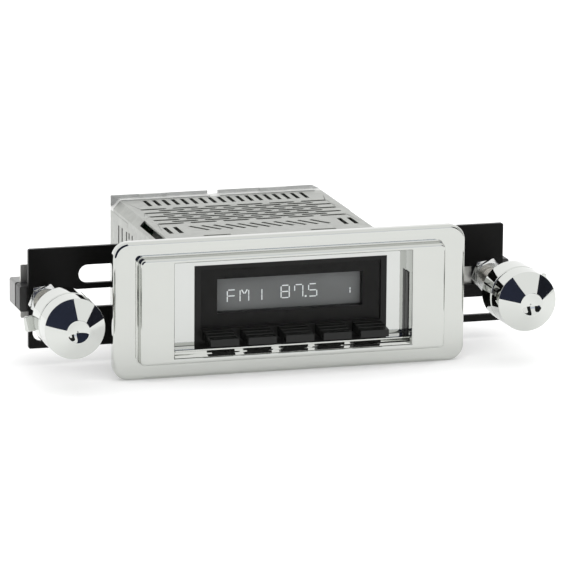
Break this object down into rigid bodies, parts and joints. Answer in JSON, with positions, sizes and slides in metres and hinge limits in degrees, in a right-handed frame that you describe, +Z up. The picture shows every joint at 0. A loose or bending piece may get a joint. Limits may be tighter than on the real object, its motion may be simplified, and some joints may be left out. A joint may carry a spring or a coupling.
{
  "type": "car radio",
  "caption": "Shaft-mounted car radio: slotted steel chassis, chrome trim and nose with display, push keys, and concentric knob controls on slotted side brackets.",
  "frame": {"origin": "centre of the trim plate's back plane, where it seats on the dashboard", "axes": "+X to the right seen from the front, +Y into the dashboard, +Z up"},
  "size_m": [0.2392, 0.1602, 0.0614],
  "materials": {
    "black_steel": "black zinc, satin",
    "capacitor_sleeve": "sleeved",
    "chip_plastic": "moulded",
    "chrome_plate": "polished",
    "circuit_board": "solder mask",
    "dark_aluminium": "anodised",
    "display_black": "semi gloss",
    "encoder_case": "plain, slightly dull",
    "encoder_plastic": "moulded",
    "flex_film": "amber film",
    "fuse_plastic": "clear orange",
    "galvanised_panel": "galvanised, light",
    "galvanised_steel": "galvanised, fine spangle",
    "housing_plastic": "fine texture",
    "key_plastic": "fine texture",
    "knob_chrome": "polished",
    "lcd_glass": "satin",
    "light_guide": "translucent white",
    "lit_segment": "lit",
    "nickel": "nickel plated",
    "nut_nickel": "nickel plated",
    "shaft_brass": "turned",
    "shaft_steel": "turned",
    "smoked_lens": "smoked, polished",
    "socket_plastic": "moulded",
    "spring_steel": "plain",
    "standoff_brass": "turned",
    "switch_plastic": "moulded",
    "thread_nickel": "threaded",
    "tinned_can": "tinned",
    "trim_chrome": "polished",
    "zinc_frame": "die cast",
    "zinc_screw": "zinc plated"
  },
  "bodies": {
    "radio": {"chassis_tray": "galvanised_steel", "top_cover": "galvanised_steel", "rear_panel": "galvanised_panel", "front_plate": "galvanised_steel", "cover_screws": "zinc_screw", "heat_sink": "dark_aluminium", "main_board": "circuit_board", "board_standoffs": "standoff_brass", "tuner_module": "tinned_can", "amplifier_chip": "chip_plastic", "amplifier_clamp": "spring_steel", "capacitors": "capacitor_sleeve", "antenna_socket": "nickel", "harness_socket": "socket_plastic", "rca_jacks": "nickel", "blade_fuse": "fuse_plastic", "rear_stud": "zinc_screw", "nose_housing": "housing_plastic", "nose_bezel": "chrome_plate", "display_frame": "display_black", "display_lens": "smoked_lens", "lcd_panel": "lcd_glass", "lcd_segments": "lit_segment", "backlight": "light_guide", "display_board": "circuit_board", "flex_cable": "flex_film", "key_switches": "switch_plastic", "key_springs": "spring_steel", "trim_plate": "trim_chrome", "nose_screws": "zinc_screw", "left_bracket": "black_steel", "right_bracket": "black_steel", "bracket_screws": "zinc_screw"},
    "key_1": {"button_1": "key_plastic"},
    "key_2": {"button_2": "key_plastic"},
    "key_3": {"button_3": "key_plastic"},
    "key_4": {"button_4": "key_plastic"},
    "key_5": {"button_5": "key_plastic"},
    "left_control": {"left_control_frame": "zinc_frame", "left_encoder_block": "encoder_plastic", "left_encoder_can": "encoder_case", "left_bushing": "thread_nickel", "left_lock_nut": "nut_nickel", "left_nut": "nut_nickel"},
    "left_rear": {"left_outer_shaft": "shaft_steel", "left_rear_knob": "knob_chrome"},
    "left_push": {"left_plunger": "switch_plastic"},
    "left_front": {"left_inner_shaft": "shaft_brass", "left_front_knob": "knob_chrome"},
    "right_control": {"right_control_frame": "zinc_frame", "right_encoder_block": "encoder_plastic", "right_encoder_can": "encoder_case", "right_bushing": "thread_nickel", "right_lock_nut": "nut_nickel", "right_nut": "nut_nickel"},
    "right_rear": {"right_outer_shaft": "shaft_steel", "right_rear_knob": "knob_chrome"},
    "right_push": {"right_plunger": "switch_plastic"},
    "right_front": {"right_inner_shaft": "shaft_brass", "right_front_knob": "knob_chrome"}
  },
  "joints": [
    {"name": "key_1_press", "type": "slide", "parent": "radio", "child": "key_1", "axis": [0, 1, 0], "range_m": [0, 0.0015], "stiffness_N_per_m": 400, "springref_m": -0.0008, "deforming": ["key_springs"]},
    {"name": "key_2_press", "type": "slide", "parent": "radio", "child": "key_2", "axis": [0, 1, 0], "range_m": [0, 0.0015], "stiffness_N_per_m": 400, "springref_m": -0.0008, "deforming": ["key_springs"]},
    {"name": "key_3_press", "type": "slide", "parent": "radio", "child": "key_3", "axis": [0, 1, 0], "range_m": [0, 0.0015], "stiffness_N_per_m": 400, "springref_m": -0.0008, "deforming": ["key_springs"]},
    {"name": "key_4_press", "type": "slide", "parent": "radio", "child": "key_4", "axis": [0, 1, 0], "range_m": [0, 0.0015], "stiffness_N_per_m": 400, "springref_m": -0.0008, "deforming": ["key_springs"]},
    {"name": "key_5_press", "type": "slide", "parent": "radio", "child": "key_5", "axis": [0, 1, 0], "range_m": [0, 0.0015], "stiffness_N_per_m": 400, "springref_m": -0.0008, "deforming": ["key_springs"]},
    {"name": "left_spacing", "type": "slide", "parent": "radio", "child": "left_control", "axis": [1, 0, 0], "range_m": [0, 0.007]},
    {"name": "left_rear_turn", "type": "hinge", "parent": "left_control", "child": "left_rear", "pos_m": [-0.1022, 0, -0.001], "axis": [0, 1, 0], "range_deg": [-25, 25], "stiffness_Nm_per_rad": 0.03},
    {"name": "left_push_in", "type": "slide", "parent": "left_control", "child": "left_push", "axis": [0, 1, 0], "range_m": [0, 0.0008], "stiffness_N_per_m": 1500, "springref_m": -0.0008},
    {"name": "left_front_turn", "type": "hinge", "parent": "left_push", "child": "left_front", "pos_m": [-0.1022, 0, -0.001], "axis": [0, 1, 0], "continuous": true},
    {"name": "right_spacing", "type": "slide", "parent": "radio", "child": "right_control", "axis": [-1, 0, 0], "range_m": [0, 0.007]},
    {"name": "right_rear_turn", "type": "hinge", "parent": "right_control", "child": "right_rear", "pos_m": [0.1022, 0, -0.001], "axis": [0, 1, 0], "range_deg": [-25, 25], "stiffness_Nm_per_rad": 0.03},
    {"name": "right_push_in", "type": "slide", "parent": "right_control", "child": "right_push", "axis": [0, 1, 0], "range_m": [0, 0.0008], "stiffness_N_per_m": 1500, "springref_m": -0.0008},
    {"name": "right_front_turn", "type": "hinge", "parent": "right_push", "child": "right_front", "pos_m": [0.1022, 0, -0.001], "axis": [0, 1, 0], "continuous": true}
  ]
}
